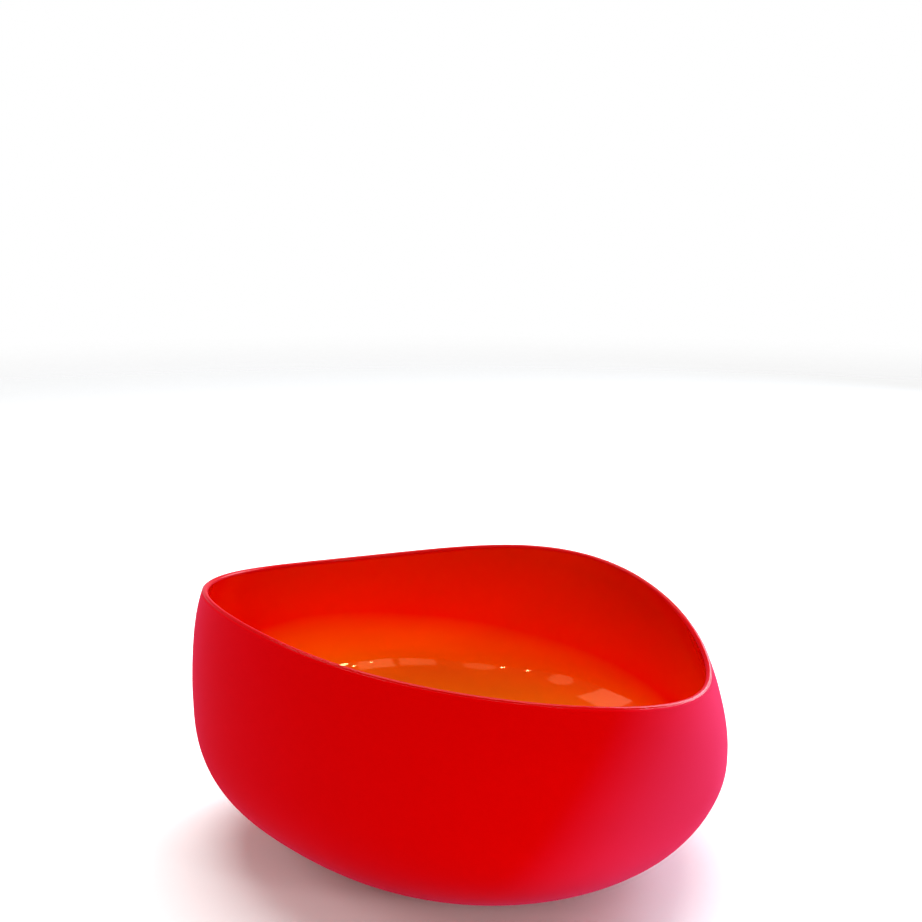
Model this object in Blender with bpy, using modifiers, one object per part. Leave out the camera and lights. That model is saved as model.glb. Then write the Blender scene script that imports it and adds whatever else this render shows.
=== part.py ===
"""A blown bowl of cased glass, modelled in metres with +Z up.

Two layers of glass make the bowl. The outer casing is satin red. It carries the flat ground foot, the
polished hollow where the glass left its rod, and the rounded lip. The inner lining is glossy, lies
against the casing and ends just under the lip. Each layer starts as a round turned blank, and both
blanks are then shaped alike, as the hot glass was: swung out of round and pulled into a wavy mouth.
The bowl stands on z = 0, with the middle of its outline over the origin.
"""

import math

import bpy
from mathutils import Vector

# The round blank
BELLY_RADIUS = 0.151  # outside, at the widest level
BELLY_HEIGHT = 0.075  # from the foot up to the widest level
SHOULDER_HEIGHT = 0.0593  # from the widest level up to the top of the lip
SIDE_ROUNDNESS = 2.4  # exponent of the side's curve above and below the belly, where 2 is an ellipse
MOUTH_INSET = 0.0089  # how far the wall has turned in at the lip

# The layers
CASING_WALL = 0.0017  # on the side
CASING_BASE = 0.0047  # over the foot
LINING_WALL = 0.0012
LINING_BASE = 0.0035
LAYER_GAP = 0.0003  # clearance between the layers
LIP_OVERLAP = 0.006  # from the top of the lip down to the lining's edge

# The foot
FOOT_RADIUS = 0.042
HOLLOW_RADIUS = 0.014
HOLLOW_DEPTH = 0.0018

# The shaping: each wave is how often it comes round, its height, and the angle in degrees of a crest.
OUTLINE_WAVES = ((2, 0.0087, 127), (3, 0.0044, 42))
LIP_WAVES = ((1, 0.0131, 177), (2, 0.0083, 58), (3, 0.0038, 53))
PULL_START = 0.035  # the height above the foot where the pull on the lip begins to be felt
LEAN = -0.024  # sideways shift along X for each metre of height
FOOT_PLACE = (0.0054, 0.0042)  # the foot's middle, seen from the middle of the outline

# How finely the blanks are turned
TURN_STEPS = 60
UNDER_STEPS = 10
SHOULDER_STEPS = 5
LIP_STEPS = 5
HOLLOW_STEPS = 3
MERGE_DISTANCE = 0.00001

# Finishes: base colour, roughness
CASING_FINISH = ((0.62, 0.004, 0.006, 1), 0.5)
LINING_FINISH = ((0.80, 0.05, 0.002, 1), 0.08)


def clear_scene():
    for item in list(bpy.data.objects):
        bpy.data.objects.remove(item)


def spaced(first, last, steps):
    """Evenly spaced numbers from first to last, with both ends exact."""
    shares = [step / steps for step in range(steps + 1)]
    return [first * (1 - share) + last * share for share in shares]


def other_share(share):
    """The side's curve: at this share of its full height, the share of its full radius, or the reverse."""
    return (1 - share**SIDE_ROUNDNESS) ** (1 / SIDE_ROUNDNESS)


def shoulder_share(rise):
    """The share of its belly radius that a layer keeps at a rise above the widest level."""
    crown = SHOULDER_HEIGHT / other_share(1 - MOUTH_INSET / BELLY_RADIUS)
    return other_share(rise / crown)


def under_curve(radius, depth, start_radius, steps):
    """(radius, height) points from start_radius out to the belly, on a bowl that deep under it."""
    power = 2 / SIDE_ROUNDNESS
    first = math.asin((start_radius / radius) ** (1 / power))
    points = []
    for angle in spaced(first, math.pi / 2, steps):
        out = radius * math.sin(angle) ** power
        down = depth * math.cos(angle) ** power
        points.append((out, BELLY_HEIGHT - down))
    return points


def shoulder_curve(radius, first_rise, last_rise, steps):
    """(radius, height) points up the side, from one rise above the belly to another."""
    rises = spaced(first_rise, last_rise, steps)
    return [(radius * shoulder_share(rise), BELLY_HEIGHT + rise) for rise in rises]


def arc(centre, radius, first_angle, last_angle, steps):
    """Points on a circle arc in the profile's plane. Angles are in radians from the outward direction."""
    angles = spaced(first_angle, last_angle, steps)
    return [(centre[0] + radius * math.cos(a), centre[1] + radius * math.sin(a)) for a in angles]


def lip_tilt():
    """How far the side leans inwards at the lip, in radians."""
    step = 0.001
    drop = shoulder_share(SHOULDER_HEIGHT - step) - shoulder_share(SHOULDER_HEIGHT)
    return math.atan(BELLY_RADIUS * drop / step)


def whole_depth():
    """Depth of the outer curve if it ran on to a round bottom instead of stopping at the foot."""
    return BELLY_HEIGHT / other_share(FOOT_RADIUS / BELLY_RADIUS)


def inside_radius():
    """Belly radius of the bowl's inside, which the lining and the lip share."""
    return BELLY_RADIUS - CASING_WALL - LAYER_GAP - LINING_WALL


def lip_profile():
    """The rounded lip, from the inside over the top to the outside, as thick as the whole wall."""
    tilt = lip_tilt()
    mouth_radius = BELLY_RADIUS - MOUTH_INSET
    wall = (BELLY_RADIUS - inside_radius()) * math.cos(tilt)
    centre = (mouth_radius - wall / 2 * math.cos(tilt), BELLY_HEIGHT + SHOULDER_HEIGHT - wall / 2)
    return arc(centre, wall / 2, math.pi + tilt, tilt, LIP_STEPS)


def foot_profile():
    """The ground foot's flat ring and the shallow round hollow in its middle, ending on the axis."""
    ball = (HOLLOW_RADIUS**2 + HOLLOW_DEPTH**2) / (2 * HOLLOW_DEPTH)
    edge = math.asin(HOLLOW_RADIUS / ball)
    centre = (0, HOLLOW_DEPTH - ball)
    return arc(centre, ball, math.pi / 2 - edge, math.pi / 2, HOLLOW_STEPS)


def casing_profile():
    """The casing's outline from the axis inside, up under the lining, over the lip and down to the foot."""
    inner_radius = BELLY_RADIUS - CASING_WALL
    inner_depth = BELLY_HEIGHT - CASING_BASE
    ledge = SHOULDER_HEIGHT - LIP_OVERLAP
    lip = lip_profile()
    lip_end = lip[-1][1] - BELLY_HEIGHT
    inner_side = under_curve(inner_radius, inner_depth, 0, UNDER_STEPS)
    inner_side += shoulder_curve(inner_radius, 0, ledge, SHOULDER_STEPS)[1:]
    under_lip = shoulder_curve(inside_radius(), ledge, lip[0][1] - BELLY_HEIGHT, 2)[:-1]
    outer_side = shoulder_curve(BELLY_RADIUS, lip_end, 0, SHOULDER_STEPS)[1:]
    underside = under_curve(BELLY_RADIUS, whole_depth(), FOOT_RADIUS, UNDER_STEPS)[-2::-1]
    return inner_side + under_lip + lip + outer_side + underside + foot_profile()


def lining_profile():
    """The lining's outline from the axis inside, up to its edge under the lip and down its outer side."""
    outer_radius = BELLY_RADIUS - CASING_WALL - LAYER_GAP
    outer_depth = BELLY_HEIGHT - CASING_BASE - LAYER_GAP
    inner_depth = outer_depth - LINING_BASE
    edge = SHOULDER_HEIGHT - LIP_OVERLAP - LAYER_GAP
    inner_side = under_curve(inside_radius(), inner_depth, 0, UNDER_STEPS)
    inner_side += shoulder_curve(inside_radius(), 0, edge, SHOULDER_STEPS)[1:]
    outer_side = shoulder_curve(outer_radius, edge, 0, SHOULDER_STEPS)
    underside = under_curve(outer_radius, outer_depth, 0, UNDER_STEPS)[-2::-1]
    return inner_side + outer_side + underside


def wave_sum(waves, angle):
    return sum(size * math.cos(count * (angle - math.radians(crest))) for count, size, crest in waves)


def shaped(point):
    """Where a point of the round blank ends up once the hot glass is swung out of round and pulled."""
    angle = math.atan2(point.y, point.x)
    swell = 1 + wave_sum(OUTLINE_WAVES, angle) / BELLY_RADIUS
    rim_height = BELLY_HEIGHT + SHOULDER_HEIGHT
    share = min(max((point.z - PULL_START) / (rim_height - PULL_START), 0), 1)
    pull = share * share * (3 - 2 * share)
    height = point.z + pull * wave_sum(LIP_WAVES, angle)
    return Vector((point.x * swell + LEAN * height, point.y * swell, height))


def glass(name, finish):
    colour, roughness = finish
    material = bpy.data.materials.new(name)
    material.use_nodes = True
    shader = material.node_tree.nodes["Principled BSDF"]
    shader.inputs["Base Color"].default_value = colour
    shader.inputs["Roughness"].default_value = roughness
    shader.inputs["Metallic"].default_value = 0
    material.diffuse_color = colour
    return material


def turned_blank(name, profile, collection):
    """The profile as an edge chain, turned about Z by a Screw modifier."""
    outline = bpy.data.meshes.new(name + "_profile")
    edges = [(i, i + 1) for i in range(len(profile) - 1)]
    outline.from_pydata([(radius, 0, height) for radius, height in profile], edges, [])
    blank = bpy.data.objects.new(name, outline)
    collection.objects.link(blank)
    turn = blank.modifiers.new("turn", "SCREW")
    turn.steps = TURN_STEPS
    turn.render_steps = TURN_STEPS
    turn.use_merge_vertices = True
    turn.merge_threshold = MERGE_DISTANCE
    return blank


def shaped_layer(name, profile, finish, parent, collection):
    """A layer of the bowl: its turned blank as a mesh, with every point moved to the hot glass's shape."""
    blank = turned_blank(name, profile, collection)
    evaluated = blank.evaluated_get(bpy.context.evaluated_depsgraph_get())
    mesh = bpy.data.meshes.new_from_object(evaluated)
    outline = blank.data
    blank.modifiers.clear()
    blank.data = mesh
    bpy.data.meshes.remove(outline)
    for vertex in mesh.vertices:
        vertex.co = shaped(vertex.co)
    mesh.name = name
    mesh.materials.append(glass(name + "_glass", finish))
    mesh.shade_smooth()
    mesh.set_sharp_from_angle(angle=math.radians(40))
    blank.parent = parent
    return blank


def build_bowl():
    collection = bpy.data.collections.new("art_glass_bowl")
    bpy.context.scene.collection.children.link(collection)
    foot_middle = bpy.data.objects.new("foot_middle", None)
    foot_middle.location = (*FOOT_PLACE, 0)
    collection.objects.link(foot_middle)
    shaped_layer("outer_casing", casing_profile(), CASING_FINISH, foot_middle, collection)
    shaped_layer("inner_lining", lining_profile(), LINING_FINISH, foot_middle, collection)


clear_scene()
build_bowl()
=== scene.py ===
import math

import bpy
import numpy as np
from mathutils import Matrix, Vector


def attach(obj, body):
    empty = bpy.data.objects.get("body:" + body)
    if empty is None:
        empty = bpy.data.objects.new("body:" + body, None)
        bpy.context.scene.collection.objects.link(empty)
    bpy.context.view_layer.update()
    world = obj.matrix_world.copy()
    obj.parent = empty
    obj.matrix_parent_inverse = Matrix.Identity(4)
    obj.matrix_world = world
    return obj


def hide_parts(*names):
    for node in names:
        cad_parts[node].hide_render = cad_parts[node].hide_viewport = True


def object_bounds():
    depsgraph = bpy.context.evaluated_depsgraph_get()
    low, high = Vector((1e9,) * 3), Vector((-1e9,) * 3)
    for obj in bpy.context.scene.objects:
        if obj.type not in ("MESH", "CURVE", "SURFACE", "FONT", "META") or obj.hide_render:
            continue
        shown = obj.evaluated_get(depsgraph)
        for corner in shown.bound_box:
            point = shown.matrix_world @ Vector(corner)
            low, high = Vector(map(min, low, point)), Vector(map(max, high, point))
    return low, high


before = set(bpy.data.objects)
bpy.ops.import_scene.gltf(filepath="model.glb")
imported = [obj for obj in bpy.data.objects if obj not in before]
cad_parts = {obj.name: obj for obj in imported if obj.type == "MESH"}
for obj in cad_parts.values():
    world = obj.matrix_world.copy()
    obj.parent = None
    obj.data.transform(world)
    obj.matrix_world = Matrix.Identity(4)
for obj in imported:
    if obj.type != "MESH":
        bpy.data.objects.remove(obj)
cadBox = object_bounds()
print("frame loaded:", len(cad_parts), "nodes")

# The round blank that both layers start from, in metres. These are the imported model's own sizes.
blank = {
    "bellyRadius": 0.151,
    "bellyHeight": 0.075,
    "shoulderHeight": 0.0593,  # from the widest level up to the top of the lip
    "sideRoundness": 2.4,  # 2 would be an ellipse
    "mouthInset": 0.0089,  # how far the wall has turned in at the lip
}


def otherShare(share):
    # the side's curve: full height's share to full radius's share, or the reverse
    power = blank["sideRoundness"]
    return (1 - share**power) ** (1 / power)


def shoulderShare(rise):
    # share of the belly radius that is left at a rise above the belly
    crown = blank["shoulderHeight"] / otherShare(1 - blank["mouthInset"] / blank["bellyRadius"])
    return otherShare(rise / crown)


def underCurve(radius, depth, startRadius, count):
    # superellipse from startRadius out to the belly: radius * sin^k, depth * cos^k
    power = 2 / blank["sideRoundness"]
    first = math.asin((startRadius / radius) ** (1 / power))
    angle = np.linspace(first, math.pi / 2, count)
    out = radius * np.sin(angle) ** power
    down = depth * np.cos(angle) ** power
    return np.stack([out, blank["bellyHeight"] - down], 1)


def shoulderCurve(radius, firstRise, lastRise, count):
    # the same curve, stretched taller, from one rise above the belly to another
    rise = np.linspace(firstRise, lastRise, count)
    return np.stack([radius * shoulderShare(rise), blank["bellyHeight"] + rise], 1)


def arc(centre, radius, firstAngle, lastAngle, count):
    # circle in the profile's plane, angles from the outward direction
    angle = np.linspace(firstAngle, lastAngle, count)
    return np.stack([centre[0] + radius * np.cos(angle), centre[1] + radius * np.sin(angle)], 1)


# How the hot glass was swung out of round and pulled.
shaping = {
    "outlineWaves": ((2, 0.0087, 127), (3, 0.0044, 42)),  # times round, height, degrees of a crest
    "lipWaves": ((1, 0.0131, 177), (2, 0.0083, 58), (3, 0.0038, 53)),
    "pullStart": 0.035,  # the height where the pull on the lip begins to be felt
    "lean": -0.024,  # sideways shift for each metre of height
    "footPlace": (0.0054, 0.0042),
}


def waveSum(waves, angle):
    # each wave's height times the cosine of its times round, counted from its crest
    return sum(size * np.cos(count * (angle - math.radians(crest))) for count, size, crest in waves)


def shaped(radius, height, angle):
    # the blank's point moved sideways by the outline waves and the lean, and up by the pull on the lip
    top = blank["bellyHeight"] + blank["shoulderHeight"]
    share = np.clip((height - shaping["pullStart"]) / (top - shaping["pullStart"]), 0, 1)
    lifted = height + share * share * (3 - 2 * share) * waveSum(shaping["lipWaves"], angle)
    swell = radius * (1 + waveSum(shaping["outlineWaves"], angle) / blank["bellyRadius"])
    footX, footY = shaping["footPlace"]
    x = swell * np.cos(angle) + shaping["lean"] * lifted + footX
    y = swell * np.sin(angle) + footY
    return np.stack([x, y, lifted], -1)


# Slow waves that the blower's tools leave in the surface
toolMarks = {
    "waves": (  # height, times round, times up, turn
        (0.00016, 3, 1.3, 0.4),
        (0.00011, 5, 2.1, 2.2),
        (0.00007, 8, 3.4, 4.1),
        (0.00004, 13, 5.0, 1.1),
    ),
    "turnUp": 6.3,  # the angle of one time up
    "footFade": 5,  # how quickly they rise from the foot
    "lipFade": 12,  # and die at the lip
}


def handWave(height, angle):
    # sum of cosines round and up the bowl, fading out towards the lip and the foot
    share = height / (blank["bellyHeight"] + blank["shoulderHeight"])
    fade = np.clip(share * toolMarks["footFade"], 0, 1) * np.clip((1 - share) * toolMarks["lipFade"], 0, 1)
    total = 0
    for size, timesRound, timesUp, turn in toolMarks["waves"]:
        upward = timesUp * toolMarks["turnUp"] * share + 2 * turn
        total = total + size * np.cos(timesRound * angle + turn) * np.cos(upward)
    return total * fade


# How many points go round the bowl, and along each stretch of a profile
fineness = {
    "around": 360,
    "under": 84,
    "shoulder": 44,
    "hidden": 14,
    "lip": 18,
    "foot": 6,
    "hollow": 12,
    "edge": 5,
}


def turnedPiece(name, profile, waveRows, values):
    # the profile, from axis to axis, carried round a full turn and then shaped; one point at each pole
    around = fineness["around"]
    angle = np.arange(around) * (2 * math.pi / around)
    rings = profile[1:-1]
    height = np.repeat(rings[:, 1:2], around, 1)
    radius = np.repeat(rings[:, 0:1], around, 1)
    radius = radius + waveRows[1:-1, None] * handWave(height, angle[None, :])
    points = shaped(radius, height, np.broadcast_to(angle, radius.shape)).reshape(-1, 3)
    poles = shaped(profile[[0, -1], 0], profile[[0, -1], 1], np.zeros(2))
    points = np.concatenate([poles, points])
    count = len(rings)
    ring = np.arange(count * around).reshape(count, around) + len(poles)
    after = np.roll(ring, -1, 1)
    quads = np.stack([ring[:-1], after[:-1], after[1:], ring[1:]], -1).reshape(-1, 4)
    firstFan = np.stack([np.zeros(around, int), after[0], ring[0]], 1)
    lastFan = np.stack([np.ones(around, int), ring[-1], after[-1]], 1)
    # wound so that a profile running up the inside and down the outside faces out
    faces = firstFan[:, ::-1].tolist() + quads[:, ::-1].tolist() + lastFan[:, ::-1].tolist()
    mesh = bpy.data.meshes.new(name)
    mesh.from_pydata(points.tolist(), [], faces)
    for label, perRow in values.items():
        perPoint = np.concatenate([perRow[[0, -1]], np.repeat(perRow[1:-1], around)])
        attribute = mesh.attributes.new(label, "FLOAT", "POINT")
        attribute.data.foreach_set("value", perPoint.astype(np.float32))
    mesh.shade_smooth()
    piece = bpy.data.objects.new(name, mesh)
    bpy.context.scene.collection.objects.link(piece)
    return piece


def rowsOf(*parts):
    # profile parts end to end, without doubled points, and for each label a 1 on the rows that carry it
    sameSpot = 1e-7
    profile = np.concatenate([points for points, label in parts])
    keep = np.ones(len(profile), bool)
    keep[1:] = np.hypot(*np.diff(profile, axis=0).T) > sameSpot
    rows = {}
    for wanted in ("wave", "lip", "ground", "polished"):
        marks = [np.full(len(points), float(label == wanted)) for points, label in parts]
        rows[wanted] = np.concatenate(marks)[keep]
    return profile[keep], rows


casingSizes = {
    "wall": 0.0017,
    "base": 0.0047,
    "footRadius": 0.042,
    "footBevel": 0.0018,  # where the side ends, outside the flat ring
    "hollowRadius": 0.014,
    "hollowBevel": 0.0006,
    "hollowDepth": 0.0018,
}
liningSizes = {
    "wall": 0.0012,
    "base": 0.0035,
    "gap": 0.0003,  # clearance from the casing
    "seam": 0.00006,  # the hairline between lip and lining
    "softEdge": 0.2,  # the rounding of its edge, as a share of its wall
}
insideRadius = blank["bellyRadius"] - casingSizes["wall"] - liningSizes["gap"] - liningSizes["wall"]


def lipCurve():
    # half circle as thick as both layers, over the wall's slanted end
    step = 0.001
    top = blank["shoulderHeight"]
    drop = shoulderShare(top - step) - shoulderShare(top)
    tilt = math.atan(blank["bellyRadius"] * drop / step)
    wall = (blank["bellyRadius"] - insideRadius) * math.cos(tilt)
    mouth = blank["bellyRadius"] - blank["mouthInset"]
    centre = (mouth - wall / 2 * math.cos(tilt), blank["bellyHeight"] + top - wall / 2)
    return arc(centre, wall / 2, math.pi + tilt, tilt, fineness["lip"])


def makeCasing():
    bellyRadius, bellyHeight = blank["bellyRadius"], blank["bellyHeight"]
    innerRadius = bellyRadius - casingSizes["wall"]
    innerDepth = bellyHeight - casingSizes["base"]
    wholeDepth = bellyHeight / otherShare(casingSizes["footRadius"] / bellyRadius)
    lip = lipCurve()
    ledge = lip[0, 1] - bellyHeight
    lipEnd = lip[-1, 1] - bellyHeight
    footEdge = casingSizes["footRadius"] + casingSizes["footBevel"]
    # the hollow is part of a ball, cut by the foot in a circle of the hollow's radius
    hollowRadius, hollowDepth = casingSizes["hollowRadius"], casingSizes["hollowDepth"]
    ball = (hollowRadius**2 + hollowDepth**2) / (2 * hollowDepth)
    opening = math.asin(hollowRadius / ball)
    hollow = arc((0, hollowDepth - ball), ball, math.pi / 2 - opening, math.pi / 2, fineness["hollow"])
    hollow[-1, 0] = 0
    flat = np.linspace(casingSizes["footRadius"], hollowRadius + casingSizes["hollowBevel"], fineness["foot"])
    profile, rows = rowsOf(
        (underCurve(innerRadius, innerDepth, 0, fineness["hidden"]), ""),
        (shoulderCurve(innerRadius, 0, ledge, fineness["hidden"]), ""),
        (lip, "lip"),
        (shoulderCurve(bellyRadius, lipEnd, 0, fineness["shoulder"]), "wave"),
        (underCurve(bellyRadius, wholeDepth, footEdge, fineness["under"])[::-1], "wave"),
        (np.stack([flat, np.zeros_like(flat)], 1), "ground"),
        (hollow, "polished"),
    )
    waveRows = rows.pop("wave")
    return turnedPiece("satin_casing", profile, waveRows, rows)


def makeLining():
    outerRadius = blank["bellyRadius"] - casingSizes["wall"] - liningSizes["gap"]
    outerDepth = blank["bellyHeight"] - casingSizes["base"] - liningSizes["gap"]
    innerDepth = outerDepth - liningSizes["base"]
    edge = lipCurve()[0, 1] - blank["bellyHeight"] - liningSizes["seam"]
    soft = liningSizes["wall"] * liningSizes["softEdge"]
    inner = shoulderCurve(insideRadius, 0, edge - soft, fineness["shoulder"])
    outer = shoulderCurve(outerRadius, edge - soft, 0, fineness["hidden"])
    turn = arc((inner[-1, 0] + soft, inner[-1, 1]), soft, math.pi, math.pi / 2, fineness["edge"])
    profile, rows = rowsOf(
        (underCurve(insideRadius, innerDepth, 0, fineness["under"]), "wave"),
        (inner, "wave"),
        (turn, ""),
        (outer, ""),
        (underCurve(outerRadius, outerDepth, 0, fineness["hidden"])[::-1], ""),
    )
    return turnedPiece("gloss_lining", profile, rows["wave"], {})


def newMaterial(name):
    material = bpy.data.materials.new(name)
    material.use_nodes = True
    return material, material.node_tree, material.node_tree.nodes["Principled BSDF"]


def addNode(tree, kind, inputs=None, **settings):
    # a node with its settings, each input joined to a socket or set to a value
    node = tree.nodes.new(kind)
    for key, value in settings.items():
        setattr(node, key, value)
    for key, value in (inputs or {}).items():
        if isinstance(value, bpy.types.NodeSocket):
            tree.links.new(value, node.inputs[key])
        else:
            node.inputs[key].default_value = value
    return node


def ramp(tree, value, stops):
    node = addNode(tree, "ShaderNodeValToRGB", {"Fac": value})
    while len(node.color_ramp.elements) < len(stops):
        node.color_ramp.elements.new(0.5)
    for element, (place, colour) in zip(node.color_ramp.elements, stops):
        element.position = place
        element.color = (*colour, 1)
    return node.outputs["Color"]


def noise(tree, vector, scale, detail=3, rough=0.5):
    inputs = {"Vector": vector, "Scale": scale, "Detail": detail, "Roughness": rough}
    return addNode(tree, "ShaderNodeTexNoise", inputs).outputs["Fac"]


def mathNode(tree, operation, a, b=0.0, c=0.0):
    node = addNode(tree, "ShaderNodeMath", {0: a, 1: b, 2: c}, operation=operation)
    return node.outputs[0]


def distanceAlong(tree, place, way):
    # how far a point lies along a slanting way: the dot product of the two
    node = addNode(tree, "ShaderNodeVectorMath", {0: place, 1: way}, operation="DOT_PRODUCT")
    return node.outputs["Value"]


def smoothBetween(tree, value, low, high):
    # 0 below low, 1 above high, and a smoothstep between them
    inputs = {"Value": value, "From Min": low, "From Max": high}
    node = addNode(tree, "ShaderNodeMapRange", inputs, interpolation_type="SMOOTHSTEP")
    return node.outputs["Result"]


def mixColour(tree, share, first, second):
    node = addNode(tree, "ShaderNodeMix", data_type="RGBA")
    tree.links.new(share, node.inputs[0])
    for socket, value in ((node.inputs[6], first), (node.inputs[7], second)):
        if isinstance(value, bpy.types.NodeSocket):
            tree.links.new(value, socket)
        else:
            socket.default_value = (*value, 1)
    return node.outputs[2]


casingLook = {
    "red": (0.54, 0.0, 0.0),
    "deepRed": (0.515, 0.0, 0.0),
    "cloudScale": 9,
    # the pinker red below is painted sheen, a lamp's satin reflection on the right side put into the colour
    "paintedSheenPink": (0.55, 0.016, 0.054),
    "paintedSheenSide": (1.0, 0.0, -0.7),  # the way towards the painted pink sheen: right and down
    "paintedSheenFrom": -0.015,
    "paintedSheenTo": 0.075,
    "lipRed": (0.47, 0.0, 0.0),
    "groundRed": (0.62, 0.05, 0.05),
    "satin": 0.5,
    "satinSpread": 0.08,
    "grainScale": 900,
    "grainStrength": 0.25,
    "grainHeight": 0.00004,
    "specular": 0.0,
    "specularTint": (1.0, 0.0, 0.1, 1),
    "sheen": 0.16,
    "sheenRoughness": 0.36,
    "sheenTint": (1.0, 0.25, 0.6, 1),
    "lipCoat": 0.22,
    "lipGloss": 0.16,
    "ior": 1.5,
}


def satinGlass():
    look = casingLook
    material, tree, shader = newMaterial("satin_red_glass")
    place = addNode(tree, "ShaderNodeTexCoord").outputs["Object"]
    lip, ground, polished = [
        addNode(tree, "ShaderNodeAttribute", attribute_name=label).outputs["Fac"]
        for label in ("lip", "ground", "polished")
    ]
    cloud = noise(tree, place, look["cloudScale"])
    grain = noise(tree, place, look["grainScale"], detail=4, rough=0.6)
    body = mixColour(tree, cloud, look["deepRed"], look["red"])
    # painted sheen: towards the right and the bottom the red is mixed into a pinker red that stands in for
    # the satin reflection of the lamp on the right
    along = distanceAlong(tree, place, look["paintedSheenSide"])
    side = smoothBetween(tree, along, look["paintedSheenFrom"], look["paintedSheenTo"])
    body = mixColour(tree, side, body, look["paintedSheenPink"])
    body = mixColour(tree, lip, body, look["lipRed"])
    body = mixColour(tree, ground, body, look["groundRed"])
    tree.links.new(body, shader.inputs["Base Color"])
    smoothest = look["satin"] - look["satinSpread"] / 2
    rough = mathNode(tree, "MULTIPLY_ADD", grain, look["satinSpread"], smoothest)
    tree.links.new(rough, shader.inputs["Roughness"])
    bumpInputs = {"Strength": look["grainStrength"], "Distance": look["grainHeight"], "Height": grain}
    bump = addNode(tree, "ShaderNodeBump", bumpInputs)
    tree.links.new(bump.outputs["Normal"], shader.inputs["Normal"])
    # only the lip and the polished hollow are glossy
    coat = mathNode(tree, "MAXIMUM", mathNode(tree, "MULTIPLY", lip, look["lipCoat"]), polished)
    tree.links.new(coat, shader.inputs["Coat Weight"])
    shader.inputs["Coat Roughness"].default_value = look["lipGloss"]
    shader.inputs["Coat IOR"].default_value = look["ior"]
    shader.inputs["Specular IOR Level"].default_value = look["specular"]
    shader.inputs["Specular Tint"].default_value = look["specularTint"]
    shader.inputs["IOR"].default_value = look["ior"]
    shader.inputs["Sheen Weight"].default_value = look["sheen"]
    shader.inputs["Sheen Roughness"].default_value = look["sheenRoughness"]
    shader.inputs["Sheen Tint"].default_value = look["sheenTint"]
    return material


liningLook = {
    "grades": (  # from the bottom to the mouth: share of the bowl's height, colour
        (0.26, (1.0, 0.28, 0.0)),
        (0.44, (0.92, 0.125, 0.0)),
        (0.61, (0.75, 0.0, 0.0)),
        (0.80, (0.60, 0.0, 0.0)),
        (0.96, (0.48, 0.0, 0.0)),
    ),
    "slope": (0.13, -0.15, 1.0),  # the way square to the grades, which tip down to the right and front
    "lift": 0.0225,
    "cloudScale": 14,
    "cloudShift": 0.04,  # how far a cloud moves a grade
    "gloss": 0.045,
    "specularTint": (1.0, 0.4, 0.15, 1),
    "ior": 1.5,
}


def glossGlass():
    look = liningLook
    material, tree, shader = newMaterial("gloss_graded_glass")
    place = addNode(tree, "ShaderNodeTexCoord").outputs["Object"]
    cloud = noise(tree, place, look["cloudScale"], detail=2)
    # height above a tipped plane, as a share of the bowl's height
    tipped = distanceAlong(tree, place, look["slope"])
    share = mathNode(tree, "DIVIDE", mathNode(tree, "ADD", tipped, look["lift"]), cadBox[1].z)
    share = mathNode(tree, "MULTIPLY_ADD", cloud, look["cloudShift"], share)
    tree.links.new(ramp(tree, share, look["grades"]), shader.inputs["Base Color"])
    shader.inputs["Roughness"].default_value = look["gloss"]
    shader.inputs["IOR"].default_value = look["ior"]
    shader.inputs["Specular Tint"].default_value = look["specularTint"]
    return material


casing = makeCasing()
casing.data.materials.append(satinGlass())
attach(casing, "root")
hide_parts("outer_casing")
print("casing made:", len(casing.data.polygons), "faces")

lining = makeLining()
lining.data.materials.append(glossGlass())
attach(lining, "root")
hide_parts("inner_lining")
print("lining made:", len(lining.data.polygons), "faces")

floorLook = {
    "colour": (0.93, 0.93, 0.93, 1),
    "roughness": 0.7,
    "specular": 0.15,
    "radius": 5.0,
    "around": 96,
    "rings": 12,
    "fadeFrom": 0.9,  # between these distances it gives way to the white of the world
    "fadeTo": 2.6,
}


def makeFloor():
    # a flat disc of rings about a middle point, at the height of the foot
    around, rings = floorLook["around"], floorLook["rings"]
    angle = np.arange(around) * (2 * math.pi / around)
    radius = np.linspace(0, floorLook["radius"], rings + 1)[1:]
    x, y = np.outer(radius, np.cos(angle)), np.outer(radius, np.sin(angle))
    points = np.stack([x, y, np.zeros((rings, around))], -1)
    points = np.concatenate([np.zeros((1, 3)), points.reshape(-1, 3)])
    ring = np.arange(rings * around).reshape(rings, around) + 1
    after = np.roll(ring, -1, 1)
    quads = np.stack([ring[:-1], ring[1:], after[1:], after[:-1]], -1).reshape(-1, 4)
    fan = np.stack([np.zeros(around, int), ring[0], after[0]], 1)
    mesh = bpy.data.meshes.new("studio_floor")
    mesh.from_pydata(points.tolist(), [], fan.tolist() + quads.tolist())
    floor = bpy.data.objects.new("studio_floor", mesh)
    bpy.context.scene.collection.objects.link(floor)
    material, tree, shader = newMaterial("pale_floor")
    place = addNode(tree, "ShaderNodeTexCoord").outputs["Object"]
    away = addNode(tree, "ShaderNodeVectorMath", {0: place}, operation="LENGTH").outputs["Value"]
    fade = smoothBetween(tree, away, floorLook["fadeFrom"], floorLook["fadeTo"])
    shader.inputs["Base Color"].default_value = floorLook["colour"]
    shader.inputs["Roughness"].default_value = floorLook["roughness"]
    shader.inputs["Specular IOR Level"].default_value = floorLook["specular"]
    clear = addNode(tree, "ShaderNodeBsdfTransparent")
    mixed = addNode(tree, "ShaderNodeMixShader", {0: fade, 1: shader.outputs[0], 2: clear.outputs[0]})
    tree.links.new(mixed.outputs[0], tree.nodes["Material Output"].inputs["Surface"])
    floor.data.materials.append(material)


# White up to just above the horizon, dim overhead: the sine of a height above level, and its colour
worldLook = (
    (0.11, (1.0, 1.0, 1.0)),
    (0.24, (0.24, 0.24, 0.24)),
)


def makeWorld():
    world = bpy.data.worlds.new("studio")
    world.use_nodes = True
    tree = world.node_tree
    way = addNode(tree, "ShaderNodeTexCoord").outputs["Generated"]
    up = addNode(tree, "ShaderNodeSeparateXYZ", {0: way}).outputs["Z"]
    tree.links.new(ramp(tree, up, worldLook), tree.nodes["Background"].inputs["Color"])
    bpy.context.scene.world = world


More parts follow.
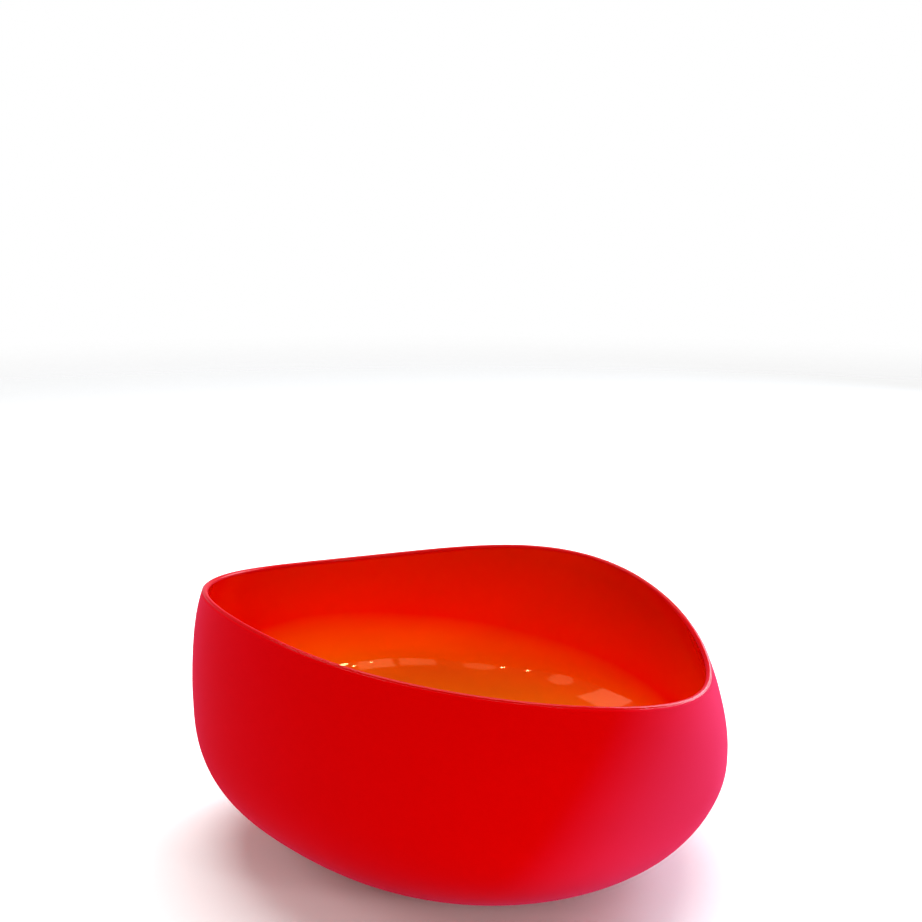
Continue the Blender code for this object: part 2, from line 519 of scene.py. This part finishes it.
# Each lamp: the way to it from the bowl as a compass angle (0 is +X, -90 the camera's side) and a height,
# both in degrees, how far away it is, its width and height, how bright it glows, and its colour.
lamps = {
    "overhead": {"toward": (90, 71), "away": 2.0, "size": (2.2, 1.3), "glow": 6.6},
    "low_front": {"toward": (-90, 1), "away": 2.4, "size": (2.4, 0.5), "glow": 1.5},
    "right_daylight": {
        "toward": (48, 20), "away": 1.7, "size": (0.9, 1.0), "glow": 12, "colour": (0.72, 0.82, 1),
    },
    "left_window": {"toward": (-178, 34), "away": 2.0, "size": (0.70, 0.84), "glow": 3.2},
    "front_pane": {"toward": (-59.3, 20), "away": 2.0, "size": (0.56, 0.52), "glow": 3.2},
    "front_pane_beyond": {"toward": (-78, 20), "away": 2.0, "size": (0.5, 0.44), "glow": 2.4},
    "soft_panel": {"toward": (-105, 24), "away": 2.0, "size": (0.45, 0.42), "glow": 1.4, "round": True},
    "round_shade": {"toward": (-146, 29), "away": 2.0, "size": (0.40, 0.58), "glow": 1.8, "round": True},
    "bulb_near": {"toward": (-43.5, 12), "away": 2.0, "size": (0.16, 0.20), "glow": 60, "round": True},
    "bulb_a": {"toward": (-48.7, 18), "away": 2.0, "size": (0.06, 0.06), "glow": 90, "round": True},
    "bulb_b": {"toward": (-57.8, 16), "away": 1.9, "size": (0.05, 0.05), "glow": 60, "round": True},
    "bulb_c": {"toward": (-115.3, 22), "away": 2.0, "size": (0.06, 0.06), "glow": 90, "round": True},
    "bulb_d": {"toward": (-126.9, 23), "away": 2.0, "size": (0.06, 0.06), "glow": 90, "round": True},
}


def direction(azimuth, elevation):
    # unit vector at a compass angle and a height above level, both in degrees
    compass, tall = math.radians(azimuth), math.radians(elevation)
    level = math.cos(tall)
    return np.array([level * math.cos(compass), level * math.sin(compass), math.sin(tall)])


def makeLamps():
    middle = np.array([0, 0, cadBox[1].z / 2])
    for name, lamp in lamps.items():
        azimuth, elevation = lamp["toward"]
        width, height = lamp["size"]
        light = bpy.data.lights.new(name, "AREA")
        light.shape = "ELLIPSE" if lamp.get("round") else "RECTANGLE"
        light.size, light.size_y = width, height
        light.energy = math.pi * width * height * lamp["glow"]
        light.color = lamp.get("colour", (1, 1, 1))
        holder = bpy.data.objects.new(name, light)
        bpy.context.scene.collection.objects.link(holder)
        holder.location = middle + lamp["away"] * direction(azimuth, elevation)
        # a lamp shines down its own -Z, so it is tipped and turned to face the bowl
        holder.rotation_euler = (math.radians(90 - elevation), 0, math.radians(azimuth + 90))
        holder.visible_camera = False


# The camera stands in front of the bowl, higher than it, and points a little over it.
view = {"distance": 0.9138, "elevation": 20.0, "pitch": 11.018, "side": -0.0022, "lens": 62.47}


def makeCamera():
    camera = bpy.data.cameras.new("camera")
    camera.lens = view["lens"]
    holder = bpy.data.objects.new("camera", camera)
    bpy.context.scene.collection.objects.link(holder)
    tall = math.radians(view["elevation"])
    footX, footY = shaping["footPlace"]
    holder.location = (
        footX + view["side"],
        footY - view["distance"] * math.cos(tall),
        blank["bellyHeight"] + view["distance"] * math.sin(tall),
    )
    holder.rotation_euler = (math.radians(90 - view["pitch"]), 0, 0)
    bpy.context.scene.camera = holder


makeFloor()
makeWorld()
makeLamps()
makeCamera()
bpy.context.scene.view_settings.view_transform = "Standard"
print("studio made:", len(lamps), "lamps")
